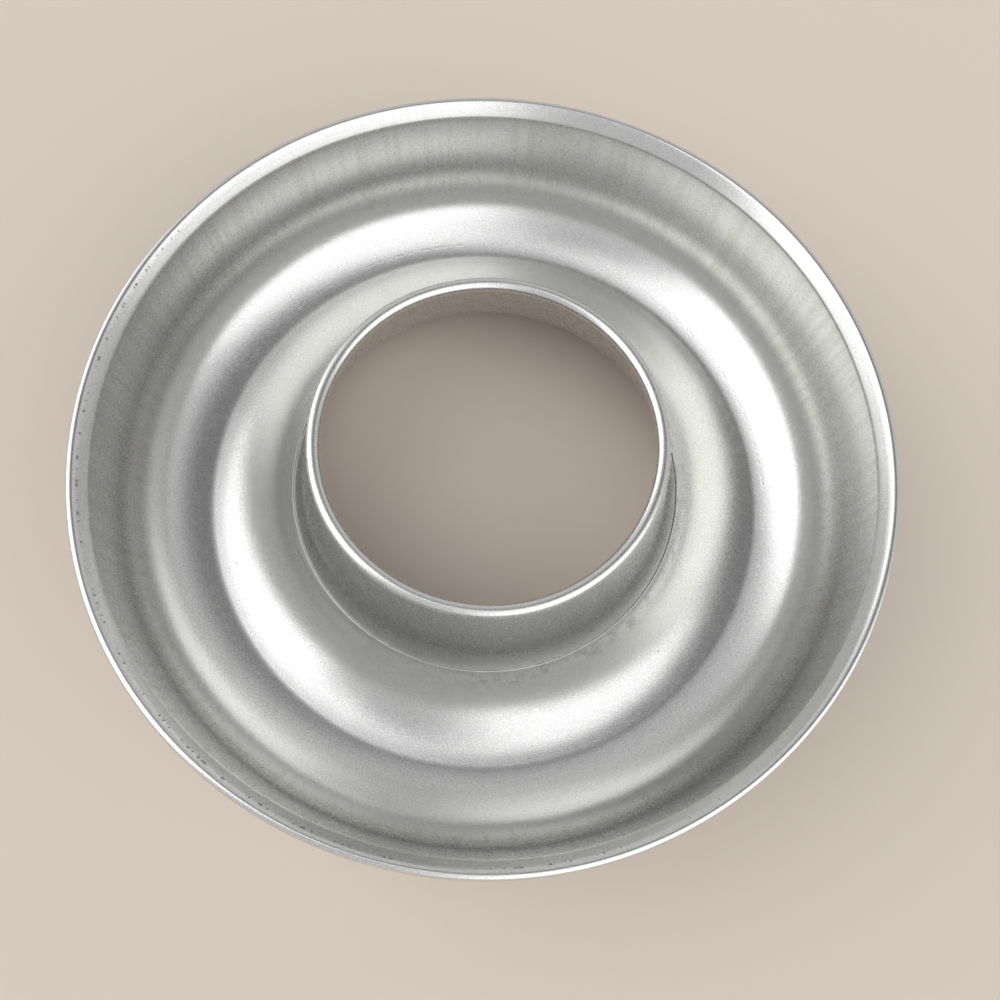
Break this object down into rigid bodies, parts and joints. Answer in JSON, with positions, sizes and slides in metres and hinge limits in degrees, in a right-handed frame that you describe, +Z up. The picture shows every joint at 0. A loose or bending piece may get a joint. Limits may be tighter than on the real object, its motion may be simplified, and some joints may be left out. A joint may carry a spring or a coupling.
{
  "type": "savarin mould",
  "caption": "Round ring-shaped aluminium baking mould with a rounded trough, flared rolled rim and a beaded centre collar around an open hole",
  "frame": {"origin": "centre of the ring, on the plane that the foot stands on", "axes": "+Z up along the ring's axis, out of the open trough; +X to the right and +Y away from the viewer in the picture"},
  "size_m": [0.2398, 0.2398, 0.0493],
  "materials": {
    "trough_sheet": "satin pressed sheet, lightly scuffed",
    "collar_sheet": "satin drawn sheet, lightly scuffed",
    "wire": "plain drawn wire"
  },
  "bodies": {
    "root": {"trough_shell": "trough_sheet", "centre_collar": "collar_sheet", "rim_wire": "wire", "collar_wire": "wire"}
  },
  "joints": []
}
